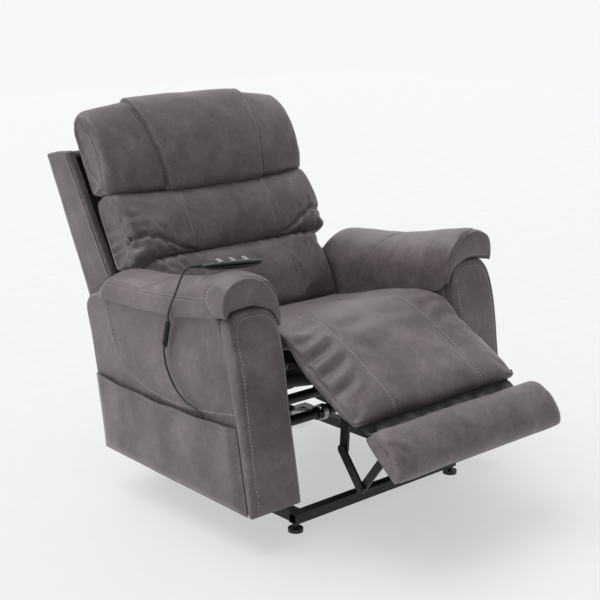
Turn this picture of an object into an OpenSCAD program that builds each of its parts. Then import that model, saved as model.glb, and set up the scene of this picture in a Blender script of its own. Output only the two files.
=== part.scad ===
// Power lift recliner chair, drawn half open: the back leans, the footrest is part way out.
// Millimetres. The sitter faces -Y and +Z is up. "left" and "right" are the sitter's,
// so the right arm, with the pocket and the handset, is on the -X side.
// Side views are given as [y, z] pairs. frame_shift moves the whole chair along Y so that
// the middle of its bounding box is over the origin.

/* [Arms] */
// Half of the chair's width over the arm boxes
arm_outer = 450; // [440:1:460]
// Half of the clear width between the arms
arm_inner = 292; // [292:1:296]
// Half of the width over the arm pads
pad_outer = 465; // [463:1:466]
// Height of the arm boxes' lower edge above the floor
arm_bottom = 88; // [86:1:92]

/* [Seat and back] */
// Half of the width of the seat cushion and the lower back roll
seat_half = 284; // [270:1:286]
// Half of the width of the middle back roll
roll_half = 345; // [320:1:350]
// Half of the width of the headrest
head_half = 352; // [330:1:356]
// Lean of the back from upright at rest
back_lean = 28; // [28]
// Slope of the leg pad at rest
chaise_slope = 29.5; // [29.5]
// Slope of the footrest pad at rest
footrest_slope = 40; // [40]

/* [Steel] */
// Width of the square base tube
tube = 26; // [24:1:28]
// Wall of the square base tube
tube_wall = 2; // [1.5:0.5:3]
// Thickness of the mechanism's link plates
plate = 6; // [5:1:6]
// Radius of the pivot pins
pin_r = 6; // [5:0.5:6]
// Radial clearance of a pin in its bore
pin_gap = 0.06; // [0.02:0.01:0.1]

/* [Handset] */
// Length of the handset
handset_len = 154; // [140:1:160]
// Width of the handset
handset_w = 40; // [36:1:44]
// Diameter of the handset cord
cord_d = 5; // [4:0.5:6]
// Outer diameter of the curled part of the cord
curl_d = 15; // [14:0.5:16]

/* [Hidden] */
$fn = 40;
frame_shift = 68.3;

// Pivots, in the side view
lift_base = [-215, 78];
lift_top = [150, 98];
strut_base = [-280, 83.5];
strut_top = [-56.5, 110];
lift_motor_at = [205, 80];
seat_pivot = [-230, 330];
back_pivot = [110, 395];
recline_motor_at = [-200, 290];
chaise_pivot = [-375, 435];
legrest_motor_at = [-30, 250];
footrest_pivot = [-592, 297];
upper_link_at = [-500, 240];
lower_link_at = [-640, 265];
link_apex = [-563, 160];
// Headrest hinge, in the back's own frame: [rearward, up]
head_pivot = [12, 396];

// Cranks: a point at a radius and an angle from a pivot
function around(c, r, a) = c + r * [cos(a), sin(a)];
lift_crank = around(lift_base, 120, 64);
recline_crank = around(back_pivot, 100, -80);
legrest_crank = around(chaise_pivot, 65, -116);

// Planes of the mechanism's plates, as the inner face's distance from the middle
rail_x = 255;
base_ear_x = 262;
lift_arm_x = 269;
chassis_plate_x = 277;
strut_x = 284;
seat_rail_x = 245;
chaise_plate_x = 237;
footrest_plate_x = 229;
outer_link_x = 244;
recline_motor_x = 90;
legrest_motor_x = -90;

// Handset place and heading, seen from above
handset_at = [-364, -242, 662];
handset_turn = -18.8;

// Route of the cord from the handset's strain relief down to the curl
cord_upper_route = [[-458, -210, 662], [-466, -207, 660], [-472, -203, 653], [-475.5, -196, 640],
    [-476, -183, 617], [-476, -165, 585], [-475, -146, 556], [-471, -132, 535], [-467, -125, 524],
    [-464, -122, 515]];
// The curl's two ends
curl_top = [-464, -122, 515];
curl_bottom = [-462, -100, 443];
// Route from the curl down into the pocket and forward to the grommet's outlet
cord_lower_route = [[-462, -100, 443], [-461, -97, 432], [-460, -98, 418], [-460, -104, 396],
    [-460, -121, 368], [-460, -145, 343], [-460, -176, 326], [-460, -210, 318], [-459, -236, 308],
    [-457, -247, 292], [-457, -249, 272], [-457, -243, 250], [-457, -226, 236], [-457, -206, 232],
    [-457, -192, 232]];
grommet_at = [-450, -180, 232];

// ---------- helpers ----------

// The chair's own place along Y
module placed() { translate([0, frame_shift, 0]) children(); }

// A part and its mirror image across the chair's middle
module both_sides() {
    children();
    mirror([1, 0, 0]) children();
}

// A side-view outline made solid from x1 to x2
module slab(outline, x1, x2) {
    translate([x1, 0, 0]) rotate([90, 0, 90]) linear_extrude(x2 - x1) polygon(outline);
}

// A round bar along X
module bar(p, x1, x2, r) {
    translate([x1, p.x, p.y]) rotate([0, 90, 0]) cylinder(h = x2 - x1, r = r);
}

// A block given by its low and high corners
module block(low, high) { translate(low) cube(high - low); }

// Outline of a link between two side-view points, with round ends
function end_arc(p, r, from) = [for (k = [0 : 12]) p + r * [cos(from + 15 * k), sin(from + 15 * k)]];
function link_outline(p1, p2, w) = let (a = atan2(p2.y - p1.y, p2.x - p1.x))
    concat(end_arc(p2, w / 2, a - 90), end_arc(p1, w / 2, a + 90));

// A flat link with no bores
module link_blank(p1, p2, x1, x2, w) { slab(link_outline(p1, p2, w), x1, x2); }

// A flat link with a running bore at p1
module link(p1, p2, x1, x2, w) {
    difference() {
        link_blank(p1, p2, x1, x2, w);
        bar(p1, x1 - 1, x2 + 1, pin_r + pin_gap);
    }
}

// Local frames. y runs to the rear along the piece and z stands on its upholstered face.
module on_back() { translate([0, back_pivot.x, back_pivot.y]) rotate([-back_lean, 0, 0]) children(); }
module on_chaise() {
    translate([0, chaise_pivot.x, chaise_pivot.y]) rotate([chaise_slope, 0, 0]) children();
}
module on_footrest() {
    translate([0, footrest_pivot.x, footrest_pivot.y]) rotate([footrest_slope, 0, 0]) children();
}

// A square tube along X, open at both ends
module cross_tube(p, half) {
    difference() {
        block([-half, p.x - tube / 2, p.y - tube / 2], [half, p.x + tube / 2, p.y + tube / 2]);
        block([-half - 1, p.x - tube / 2 + tube_wall, p.y - tube / 2 + tube_wall],
              [half + 1, p.x + tube / 2 - tube_wall, p.y + tube / 2 - tube_wall]);
    }
}

// An actuator's housing: a rear tongue with its bore, a gear case, the motor beside it and the tube
module actuator_housing(at, to, x, length, bore_from) {
    d = to - at;
    translate([x, at.x, at.y]) rotate([atan2(d.y, d.x), 0, 0]) {
        difference() {
            union() {
                rotate([0, 90, 0]) translate([0, 0, -9]) cylinder(h = 18, r = 15);
                block([-9, 0, -15], [9, 30, 15]);
                block([-26, 28, -24], [26, 88, 24]);
                translate([0, 84, 0]) rotate([-90, 0, 0]) cylinder(h = length - 84, r = 19);
                translate([0, length - 16, 0]) rotate([-90, 0, 0]) cylinder(h = 16, r = 22);
                translate([45, 92, -4]) rotate([90, 0, 0]) cylinder(h = 60, r = 20);
            }
            rotate([0, 90, 0]) translate([0, 0, -10]) cylinder(h = 20, r = pin_r + pin_gap);
            translate([0, bore_from, 0]) rotate([-90, 0, 0]) cylinder(h = length, r = 10.08);
        }
    }
}

// An actuator's rod, ending in an eye around the crank's pin. The eye is wide because this
// pivot is left open in the joint tree.
module actuator_rod(at, to, x, rod_from, eye_r) {
    d = to - at;
    reach = norm(d);
    translate([x, at.x, at.y]) rotate([atan2(d.y, d.x), 0, 0]) {
        translate([0, rod_from, 0]) rotate([-90, 0, 0])
            cylinder(h = reach - rod_from - eye_r - 1.5, r = 10);
        difference() {
            translate([-8, reach, 0]) rotate([0, 90, 0]) cylinder(h = 16, r = eye_r + 5);
            translate([-9, reach, 0]) rotate([0, 90, 0]) cylinder(h = 18, r = eye_r);
        }
    }
}

// Rings of a tube swept along a route, each ring square to the route there. No route runs along X.
function along(route, i) =
    let (a = route[max(i - 1, 0)], b = route[min(i + 1, len(route) - 1)]) (b - a) / norm(b - a);
function square_to(t) = let (u = cross(t, [1, 0, 0])) u / norm(u);
function ring(route, i, r, sides) = let (t = along(route, i), u = square_to(t), v = cross(t, u))
    [for (k = [0 : sides - 1]) route[i] + r * (cos(360 * k / sides) * u + sin(360 * k / sides) * v)];

// Catmull-Rom points between hand-set ones
function smooth_point(p, i, f) =
    let (a = p[max(i - 1, 0)], b = p[i], c = p[i + 1], d = p[min(i + 2, len(p) - 1)])
    0.5 * (2 * b + (c - a) * f + (2 * a - 5 * b + 4 * c - d) * f * f + (3 * b - 3 * c + d - a) * f * f * f);
function smooth_route(p, steps) = concat(
    [for (i = [0 : len(p) - 2], k = [0 : steps - 1]) smooth_point(p, i, k / steps)], [p[len(p) - 1]]);

// A round tube swept along a route
module swept(route, d, sides = 8) {
    n = len(route);
    points = [for (i = [0 : n - 1]) each ring(route, i, d / 2, sides)];
    walls = [for (i = [0 : n - 2], k = [0 : sides - 1])
        [i * sides + k, i * sides + (k + 1) % sides,
         (i + 1) * sides + (k + 1) % sides, (i + 1) * sides + k]];
    first = [for (k = [0 : sides - 1]) sides - 1 - k];
    last = [for (k = [0 : sides - 1]) (n - 1) * sides + k];
    polyhedron(points, concat([first], walls, [last]));
}

// ---------- base ----------

base_front_y = -373;
base_rear_y = 205;
base_z = 35;
foot_h = 22;

module base_front_tube() {
    color("black") placed() cross_tube([base_front_y, base_z], 290);
}

module base_rear_tube() {
    color("black") placed() cross_tube([base_rear_y, base_z], 286);
}

// Two rails along the sides, welded between the cross tubes
module base_side_rails() {
    color("black") placed() both_sides() difference() {
        block([rail_x, base_front_y + tube / 2, base_z - tube / 2],
              [rail_x + 30, base_rear_y - tube / 2, base_z + tube / 2]);
        block([rail_x + tube_wall, base_front_y, base_z - tube / 2 + tube_wall],
              [rail_x + 30 - tube_wall, base_rear_y, base_z + tube / 2 - tube_wall]);
    }
}

// Ears with their pins, welded on the rails and on the rear tube
module base_pivot_brackets() {
    top = base_z + tube / 2;
    color("dimgray") placed() {
        both_sides() {
            slab([[-250, top], [-180, top], [-198, 92], [-232, 92]], base_ear_x, base_ear_x + plate);
            bar(lift_base, base_ear_x, lift_arm_x + plate + 1, pin_r);
            slab([[-312, top], [-252, top], [-266, 97], [-294, 97]],
                 chassis_plate_x, chassis_plate_x + plate);
            bar(strut_base, chassis_plate_x, strut_x + plate, pin_r);
            slab([[194, top], [216, top], [216, 92], [194, 92]], 11, 17);
        }
        bar(lift_motor_at, -14, 14, pin_r);
    }
}

// Four turned feet with lock nuts, screwed up under the tubes
module levelling_feet() {
    color("black") placed() both_sides() for (p = [[280, base_front_y], [268, base_rear_y]])
        translate([p.x, p.y, 0]) {
            cylinder(h = 9, r = 19);
            cylinder(h = foot_h, r = 5);
            translate([0, 0, foot_h - 6]) cylinder(h = 6, r = 9, $fn = 6);
        }
}

// ---------- lift linkage ----------

// Long arms that carry the chassis, each with a lug for the cross tube
module lift_arms() {
    color("dimgray") placed() both_sides() difference() {
        union() {
            link_blank(lift_base, lift_top, lift_arm_x, lift_arm_x + plate, 36);
            link_blank(lift_base, lift_crank, lift_arm_x, lift_arm_x + plate, 34);
        }
        for (p = [lift_base, lift_top]) bar(p, lift_arm_x - 1, lift_arm_x + plate + 1, pin_r + pin_gap);
    }
}

// The tube between the arms that the lift motor pushes on
module lift_cross_tube() {
    color("dimgray") placed() difference() {
        union() {
            bar(lift_crank, 22, lift_arm_x, 14);
            bar(lift_crank, -lift_arm_x, -22, 14);
            bar(lift_crank, -22, 22, pin_r);
            both_sides() bar(lift_crank, 16, 22, 18);
        }
        both_sides() bar(lift_crank, 24, lift_arm_x + 1, 12);
    }
}

// Short struts that tip the chassis forward as it rises. The upper bore is wide: that pivot
// is left open in the joint tree.
module lift_struts() {
    color("gray") placed() both_sides() difference() {
        link(strut_base, strut_top, strut_x, strut_x + plate, 26);
        bar(strut_top, strut_x - 1, strut_x + plate + 1, pin_r + 2.8);
    }
}

module lift_motor() {
    color("black") placed() actuator_housing(lift_motor_at, lift_crank, 0, 252, 112);
}

module lift_rod() {
    color("silver") placed() actuator_rod(lift_motor_at, lift_crank, 0, 122, pin_r + 10.6);
}

// ---------- chassis ----------

// Side plates that the arms bolt to, with the pins of the lift linkage and the seat
module chassis_plates() {
    outline = [[-215, 128], [-60, 92], [165, 78], [178, 100], [120, 300], [-180, 352],
        [-250, 348], [-258, 300]];
    x2 = chassis_plate_x + plate;
    color("dimgray") placed() both_sides() {
        difference() {
            slab(outline, chassis_plate_x, x2);
            for (p = arm_bolt_places) bar(p, chassis_plate_x - 1, x2 + 1, 4.2);
        }
        bar(lift_top, lift_arm_x - 2, chassis_plate_x, pin_r);
        bar(strut_top, x2, strut_x + plate, pin_r);
        bar(seat_pivot, seat_rail_x + 14, chassis_plate_x, pin_r);
    }
}

arm_bolt_places = [[-200, 300], [-60, 290], [80, 270]];

front_chassis_tube = [-236, 280];
rear_chassis_tube = [112, 240];

// Round tubes that tie the side plates together
module chassis_cross_tubes() {
    color("dimgray") placed() for (p = [front_chassis_tube, rear_chassis_tube]) difference() {
        bar(p, -chassis_plate_x, chassis_plate_x, 13);
        bar(p, -chassis_plate_x - 1, chassis_plate_x + 1, 11);
    }
}

// Bolts through the side plates and spacers into the arms
module arm_bolts() {
    color("silver") placed() both_sides() for (p = arm_bolt_places) {
        bar(p, chassis_plate_x - 5, chassis_plate_x, 8);
        bar(p, chassis_plate_x, arm_inner + 30, 4.2);
        bar(p, chassis_plate_x + plate, arm_inner, 9);
    }
}

// Side view of an arm box, behind its front panel
arm_outline = [[-401, arm_bottom], [190, arm_bottom + 14], [258, 482], [176, 505], [-31, 510],
    [-154, 518], [-292, 540], [-357, 325]];

// An arm's padded wooden box
module arm_box() {
    difference() {
        slab(arm_outline, arm_inner, arm_outer);
        for (p = arm_bolt_places) bar(p, arm_inner - 1, arm_inner + 31, 4.2);
    }
}

module arm_box_left() { color([0.36, 0.32, 0.31]) placed() arm_box(); }

// The right box also has the hole for the handset cord behind the grommet
module arm_box_right() {
    color([0.36, 0.32, 0.31]) placed() difference() {
        mirror([1, 0, 0]) arm_box();
        translate([-arm_outer - 1, grommet_at.y, grommet_at.z]) rotate([0, 90, 0]) cylinder(h = 40, r = 4);
    }
}

// The padded panel on an arm's front, leaning back with it
module arm_front_panel() {
    slab([[-401.5, arm_bottom], [-357.5, 325], [-292.5, 540], [-296, 543], [-309, 543.5], [-332, 554],
        [-352, 500], [-366, 455], [-379, 390], [-421, arm_bottom]], arm_inner + 1, pad_outer - 10);
}

module arm_front_panel_left() { color([0.38, 0.34, 0.33]) placed() arm_front_panel(); }

module arm_front_panel_right() { color([0.38, 0.34, 0.33]) placed() mirror([1, 0, 0]) arm_front_panel(); }

// A cross section of the arm pad: an upright disc with a flat underside
module pad_rib(y, low, high, half) {
    mid = (arm_inner + pad_outer) / 2;
    translate([mid, y, low]) scale([half / 80, 1, (high - low) / 80]) rotate([90, 0, 0])
        intersection() {
            translate([0, 12, 0]) cylinder(h = 14, r = 90, center = true, $fn = 32);
            translate([-80, 0, -8]) cube([160, 80, 16]);
        }
}

// The pillow on top of an arm, thickest at its front
module arm_pad() {
    half = (pad_outer - arm_inner) / 2;
    hull() {
        pad_rib(-330, 559, 645, half - 10);
        pad_rib(-300, 545, 652, half);
        pad_rib(-60, 520, 612, half);
        pad_rib(120, 511, 586, half);
        pad_rib(168, 508, 566, half - 8);
    }
}

module arm_pad_left() { color([0.40, 0.36, 0.35]) placed() arm_pad(); }

module arm_pad_right() { color([0.40, 0.36, 0.35]) placed() mirror([1, 0, 0]) arm_pad(); }

// The pocket on the right arm's side: a front sheet with edge strips, open at the top
pocket_gap = 13;
pocket_sheet = 3;

module side_pocket() {
    outline = [[-398.5, 100], [185, 112], [216, 303], [-86, 297], [-360, 306]];
    hollow = [[-385, 112], [176, 124], [205, 340], [-86, 340], [-342, 340]];
    color([0.36, 0.32, 0.31]) placed() mirror([1, 0, 0]) difference() {
        slab(outline, arm_outer, arm_outer + pocket_gap + pocket_sheet);
        slab(hollow, arm_outer - 1, arm_outer + pocket_gap);
    }
}

// The box under the seat that switches the motors
module control_box() {
    color("black") placed() {
        block([120, 108, 185], [236, 176, 226]);
        difference() {
            block([150, 108, 225.9], [210, 132, 244]);
            bar(rear_chassis_tube, 149, 211, 13.1);
        }
    }
}

// The socket for the mains lead, at the box's rear
module power_inlet() {
    color("black") placed() difference() {
        block([160, 176, 192], [196, 190, 218]);
        block([166, 182, 198], [190, 191, 212]);
    }
}

// The outlet boss in the pocket where the handset cord leaves the arm
module cord_grommet() {
    color("black") placed() difference() {
        translate(grommet_at) {
            block([-12.5, -12, -8], [0, 12, 8]);
            rotate([0, 90, 0]) cylinder(h = 20, r = 4);
        }
        translate(grommet_at + [-7, -12.1, 0]) rotate([-90, 0, 0]) cylinder(h = 5, r = cord_d / 2);
    }
}

// ---------- handset ----------

module on_handset() { translate(handset_at) rotate([0, 0, handset_turn]) children(); }

// A long rounded outline, seen from above
module handset_outline(inset) {
    r = handset_w / 2 - inset;
    for (x = [-1, 1]) translate([x * (handset_len / 2 - handset_w / 2), 0]) circle(r);
    square([handset_len - handset_w, 2 * r], center = true);
}

button_rows = [-30, 2, 34];
button_side = 8.5;
button_r = 5.5;

function button_at(i) = [button_rows[floor(i / 2)], (i % 2 == 0 ? -1 : 1) * button_side];

module handset_shell_lower() {
    color([0.15, 0.15, 0.16]) placed() on_handset()
        translate([0, 0, -12]) linear_extrude(11) handset_outline(1);
}

// The upper shell has a well for each button
module handset_shell_upper() {
    color([0.2, 0.2, 0.21]) placed() on_handset() difference() {
        translate([0, 0, -1]) linear_extrude(9) handset_outline(0);
        for (i = [0 : 5])
            translate([button_at(i).x, button_at(i).y, 3]) cylinder(h = 6, r = button_r + 0.3);
    }
}

module handset_button(i) {
    color([0.75, 0.75, 0.76]) placed() on_handset()
        translate([button_at(i).x, button_at(i).y, 5]) cylinder(h = 5, r = button_r);
}

module handset_button_1() handset_button(0);
module handset_button_2() handset_button(1);
module handset_button_3() handset_button(2);
module handset_button_4() handset_button(3);
module handset_button_5() handset_button(4);
module handset_button_6() handset_button(5);

// The tapered sleeve where the cord leaves the handset
module handset_strain_relief() {
    color("black") placed() on_handset() translate([4 - handset_len / 2, 0, 0])
        rotate([0, -90, 0]) cylinder(h = 26, r1 = 6, r2 = 3.6);
}

module handset_cord_upper() {
    color([0.1, 0.1, 0.1]) placed() swept(smooth_route(cord_upper_route, 2), cord_d);
}

module handset_cord_curl() {
    middle = (curl_top + curl_bottom) / 2;
    color([0.1, 0.1, 0.1]) placed() swept([curl_top, middle, curl_bottom], curl_d, 12);
}

module handset_cord_lower() {
    color([0.1, 0.1, 0.1]) placed() swept(smooth_route(cord_lower_route, 2), cord_d);
}

// ---------- seat ----------

seat_front = [-352, 428];
seat_rear = [70, 345];

// Side rails from the leg pad's hinge to the back's hinge, with their ears and pins
module seat_side_rails() {
    x1 = seat_rail_x;
    x2 = seat_rail_x + plate;
    outline = [[-378, 424], [-387, 430], [-387, 440], [-379, 447], [-362, 450], [66, 362],
        [94, 404], [112, 412], [128, 398],
        [122, 376], [92, 332], [66, 330], [-196, 384], [-208, 312], [-252, 312], [-258, 396]];
    color("dimgray") placed() both_sides() {
        difference() {
            union() {
                slab(outline, x1, x2);
                bar(seat_pivot, x2, x2 + 8, 14);
            }
            bar(seat_pivot, x1 - 1, x2 + 9, pin_r + pin_gap);
        }
        bar(chaise_pivot, chaise_plate_x - 1, x1, pin_r);
        bar(back_pivot, x1 - 9, x1, pin_r);
    }
}

// Three rails across the seat frame: front, rear and one low one that carries the actuators
module seat_cross_rails() {
    color("dimgray") placed() {
        for (p = [seat_front + [12, -6], seat_rear + [-4, 3]]) block([-seat_rail_x, p.x - 12, p.y - 12],
            [seat_rail_x, p.x + 12, p.y + 12]);
        both_ears([recline_motor_x, recline_motor_at, 406]);
        both_ears([legrest_motor_x, legrest_motor_at, 366]);
    }
}

// Two hanger plates and a pin for an actuator's tongue
module both_ears(m) {
    p = m[1];
    for (s = [-1, 1]) translate([m[0] + s * 14, 0, 0])
        slab([[p.x - 12, p.y - 12], [p.x + 12, p.y - 12],
              [p.x + 12, m[2] - 24], [p.x - 12, m[2] - 24]], -3, 3);
    bar(p, m[0] - 14, m[0] + 14, pin_r);
    translate([0, p.x, m[2] - 22]) rotate([-11.4, 0, 0])
        block([-seat_rail_x, -12, -10], [seat_rail_x, 12, 10]);
}

// Wavy springs between the front and rear rails
module seat_springs() {
    steps = 27;
    from = seat_front + [25.95, -2];
    to = seat_rear + [-17.95, 6];
    color("silver") placed() for (x = [-180, -60, 60, 180])
        swept([for (i = [0 : steps]) let (p = from + (to - from) * i / steps)
            [x + 22 * sin(60 * i), p.x, p.y]], 3.8);
}

// The seat pad, its rear lower than its front
module seat_cushion() {
    color([0.42, 0.38, 0.37]) placed() slab([[60, 366], [62, 405], [-80, 449], [-285, 501], [-330, 494],
        [-350, 472], [-350, 451], [-330, 447]], -seat_half, seat_half);
}

// ---------- motors under the seat ----------

module recline_motor() {
    color("black") placed() actuator_housing(recline_motor_at, recline_crank, recline_motor_x, 225, 92);
}

module recline_rod() {
    color("silver") placed()
        actuator_rod(recline_motor_at, recline_crank, recline_motor_x, 148, pin_r + 7.6);
}

module legrest_motor() {
    color("black") placed() actuator_housing(legrest_motor_at, legrest_crank, legrest_motor_x, 262, 112);
}

module legrest_rod() {
    color("silver") placed()
        actuator_rod(legrest_motor_at, legrest_crank, legrest_motor_x, 176, pin_r + 21);
}

// ---------- leg pad and footrest ----------

// The leg pad's board with its side plates, the plates' crank and the pins of the links
module chaise_board() {
    color("dimgray") placed() {
        on_chaise() {
            difference() {
                block([-270, -226, -12], [270, -24, -2]);
                block([legrest_motor_x - 9.5, -112, -13], [legrest_motor_x + 9.5, -23, -1]);
            }
            both_sides() difference() {
                slab([[-265, -24], [-190, -40], [-150, -22], [12, -12], [14, 8], [4, 13], [-9, 11],
                    [-13, -2.5], [-227, -2.5], [-231, -11], [-243, -11], [-248, -3], [-267, -3]],
                    chaise_plate_x, chaise_plate_x + plate);
                bar([0, 0], chaise_plate_x - 1, chaise_plate_x + plate + 1, pin_r + pin_gap);
            }
        }
        both_sides() {
            link_blank([-506, 341], upper_link_at, chaise_plate_x, chaise_plate_x + plate, 26);
            bar(upper_link_at, chaise_plate_x, outer_link_x + plate, pin_r);
            bar(footrest_pivot, footrest_plate_x - 1, chaise_plate_x + plate, pin_r);
        }
        for (s = [-1, 1]) translate([legrest_motor_x + s * 14, 0, 0])
            link_blank(legrest_crank, [-403, 402], -3, 3, 24);
        bar(legrest_crank, legrest_motor_x - 14, legrest_motor_x + 14, pin_r);
    }
}

module chaise_pad() {
    color([0.42, 0.38, 0.37]) placed() on_chaise() slab([
        [-16, -1.5], [-14, 36], [-60, 42], [-150, 41], [-214, 36],
        [-231, 22], [-230, 2], [-222, -1.5]], -288, 288);
}

// The outer pair of links, hung from the leg pad's plates. Their lower pivot on the inner pair is
// left open in the joint tree.
module upper_links() {
    color("dimgray") placed() both_sides() {
        link(upper_link_at, link_apex, outer_link_x, outer_link_x + plate, 24);
        bar(link_apex, outer_link_x + plate - 2, outer_link_x + plate + 2, 8);
    }
}

// The pair of links that steadies the footrest
module lower_links() {
    color("dimgray") placed() both_sides() {
        link(lower_link_at, link_apex, chaise_plate_x, chaise_plate_x + plate, 20);
        bar(link_apex, chaise_plate_x - 2, chaise_plate_x + 2, 8);
    }
}

// The footrest's board with its two brackets
module footrest_board() {
    color("dimgray") placed() {
        on_footrest() {
            block([-268, -136, 18], [268, -22, 24]);
            both_sides() difference() {
                slab([[-98, -14], [-62, -6], [-8, -14], [12, -8], [12, 8], [-16, 22],
                    [-118, 20], [-118, 2]],
                    footrest_plate_x, footrest_plate_x + plate);
                bar([0, 0], footrest_plate_x - 1, footrest_plate_x + plate + 1, pin_r + pin_gap);
            }
        }
        both_sides() bar(lower_link_at, footrest_plate_x, chaise_plate_x + plate, pin_r);
    }
}

module footrest_pad() {
    color([0.40, 0.36, 0.35]) placed() on_footrest() slab([
        [-138, 24.5], [-147, 50], [-133, 67], [-98, 78], [-42, 76],
        [-18, 66], [-11, 49], [-16, 24.5]], -292, 292);
}

// The strip of cloth below the leg pad's front edge
module gap_flap() {
    color([0.2, 0.18, 0.18]) placed() on_chaise()
        slab([[-232, -2], [-232, -5], [-240, -9], [-240, -6]], -262, 262);
}

// Rubber stops pressed on the footrest brackets
module link_bumpers() {
    color("white") placed() both_sides() on_footrest()
        bar([-30, -1], footrest_plate_x - 8, footrest_plate_x, 10);
}

// ---------- back ----------

// The two posts, each with the recline crank below and an ear for the headrest's rod
back_post_x = 222;

module back_posts() {
    x1 = back_post_x;
    x2 = x1 + 20;
    color("dimgray") placed() both_sides() difference() {
        union() {
            on_back() {
                slab([[-14, -14], [16, -14], [98, 60], [98, 560], [74, 560], [74, 90], [-14, 14]], x1, x2);
                slab([[80, 382], [80, 406], [4, 405], [2, 388]], x1, x2);
            }
            link_blank(back_pivot, recline_crank, x1, x1 + 6, 26);
        }
        bar(back_pivot, x1 - 1, x2 + 1, pin_r + pin_gap);
        on_back() bar(head_pivot, x1 - 1, x2 - 5, pin_r + pin_gap);
    }
}

// The rails across the back: one low that the recline motor turns, one in the middle, one high
module back_cross_rails() {
    color("dimgray") placed() {
        bar(recline_crank, -back_post_x, recline_motor_x - 22, 9);
        bar(recline_crank, recline_motor_x + 22, back_post_x, 9);
        for (s = [-1, 1])
            bar(recline_crank, recline_motor_x + s * 19 - 3, recline_motor_x + s * 19 + 3, 16);
        bar(recline_crank, recline_motor_x - 16, recline_motor_x + 16, pin_r);
        on_back() for (t = [110, 300, 536]) block([-back_post_x, 76, t], [back_post_x, 96, t + 24]);
    }
}

module back_rear_panel() {
    color([0.36, 0.32, 0.31]) placed() on_back() {
        slab([[224, -20], [232, -20], [232, 604], [224, 606]], -319, 319);
        both_sides() for (t = [140, 320, 520]) block([back_post_x, 98, t], [back_post_x + 20, 224, t + 16]);
    }
}

// The padded side panels that stand out above the arms
module back_wings() {
    color([0.36, 0.32, 0.31]) placed() on_back() both_sides()
        slab([[98, 200], [238, 184], [230, 612], [120, 576]], 320, 346);
}

module back_top_panel() {
    color([0.36, 0.32, 0.31]) placed() on_back()
        slab([[121, 574], [223.5, 607.5], [223.5, 586], [121, 552]], -319.5, 319.5);
}

// The middle roll and the two upper cushions share the back's lean
module back_cushion_middle() {
    color([0.40, 0.36, 0.35]) placed() on_back() slab([
        [72, 205], [72, 372], [30, 380], [-28, 368], [-48, 340],
        [-53, 310], [-50, 262], [-36, 212], [-10, 205]], -roll_half, roll_half);
}

module back_cushion_lower() {
    color([0.40, 0.36, 0.35]) placed() on_back() slab([
        [72, 94], [72, 202], [-10, 202], [-38, 196], [-52, 160],
        [-60, 100], [-60, 50], [-46, 7], [-30, 9], [-17, 16]], -seat_half, seat_half);
}

// ---------- headrest ----------

// Arms from the pivot rod up into the headrest
module headrest_bracket() {
    color("dimgray") placed() on_back() {
        bar(head_pivot, -back_post_x - 14, back_post_x + 14, pin_r);
        both_sides() slab([
            [2, 390], [22, 390], [63, 398], [71, 406], [71, 590], [63, 590], [63, 407], [20, 404],
            [2, 402]], 140, 160);
    }
}

module headrest_cushion() {
    color([0.40, 0.36, 0.35]) placed() on_back() slab([
        [62, 409], [62, 620], [46, 655], [16, 668], [-10, 652],
        [-36, 604], [-52, 530], [-48, 455], [-24, 393], [-8, 393], [0, 409]], -head_half, head_half);
}

base_front_tube();
base_rear_tube();
base_side_rails();
base_pivot_brackets();
levelling_feet();
lift_arms();
lift_cross_tube();
lift_struts();
lift_motor();
lift_rod();
chassis_plates();
chassis_cross_tubes();
arm_box_left();
arm_box_right();
arm_front_panel_left();
arm_front_panel_right();
arm_pad_left();
arm_pad_right();
side_pocket();
arm_bolts();
control_box();
power_inlet();
cord_grommet();
handset_shell_lower();
handset_shell_upper();
handset_button_1();
handset_button_2();
handset_button_3();
handset_button_4();
handset_button_5();
handset_button_6();
handset_strain_relief();
handset_cord_upper();
handset_cord_curl();
handset_cord_lower();
seat_side_rails();
seat_cross_rails();
seat_springs();
seat_cushion();
recline_motor();
recline_rod();
legrest_motor();
legrest_rod();
chaise_board();
chaise_pad();
upper_links();
lower_links();
footrest_board();
footrest_pad();
gap_flap();
link_bumpers();
back_posts();
back_cross_rails();
back_rear_panel();
back_wings();
back_top_panel();
back_cushion_middle();
back_cushion_lower();
headrest_bracket();
headrest_cushion();
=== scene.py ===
"""Looks of the power lift recliner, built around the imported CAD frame.

Shapes are written in millimetres in the same side views as the CAD source: x across the chair,
then the two axes of a place (see PLACES). to_row() turns them into metres in the row frame.
"""
import math
import bpy
import numpy as np
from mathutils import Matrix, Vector, noise
from mathutils.bvhtree import BVHTree
from mathutils.kdtree import KDTree


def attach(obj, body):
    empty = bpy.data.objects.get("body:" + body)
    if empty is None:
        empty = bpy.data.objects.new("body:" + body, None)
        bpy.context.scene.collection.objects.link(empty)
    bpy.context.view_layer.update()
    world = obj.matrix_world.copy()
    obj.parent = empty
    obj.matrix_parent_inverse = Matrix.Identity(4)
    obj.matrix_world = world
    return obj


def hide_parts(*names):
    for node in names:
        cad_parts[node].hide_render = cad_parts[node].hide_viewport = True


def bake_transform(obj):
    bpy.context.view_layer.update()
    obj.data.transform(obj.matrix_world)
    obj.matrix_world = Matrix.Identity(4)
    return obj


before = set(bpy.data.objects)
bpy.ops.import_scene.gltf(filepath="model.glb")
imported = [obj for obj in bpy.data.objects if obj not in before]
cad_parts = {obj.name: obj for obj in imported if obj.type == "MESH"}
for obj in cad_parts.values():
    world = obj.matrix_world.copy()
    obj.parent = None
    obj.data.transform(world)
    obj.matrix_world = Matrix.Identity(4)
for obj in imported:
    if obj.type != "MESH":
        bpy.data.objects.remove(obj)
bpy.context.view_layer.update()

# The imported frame's offset in y from the side views, in millimetres
FRAME_SHIFT = 68.3
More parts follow.
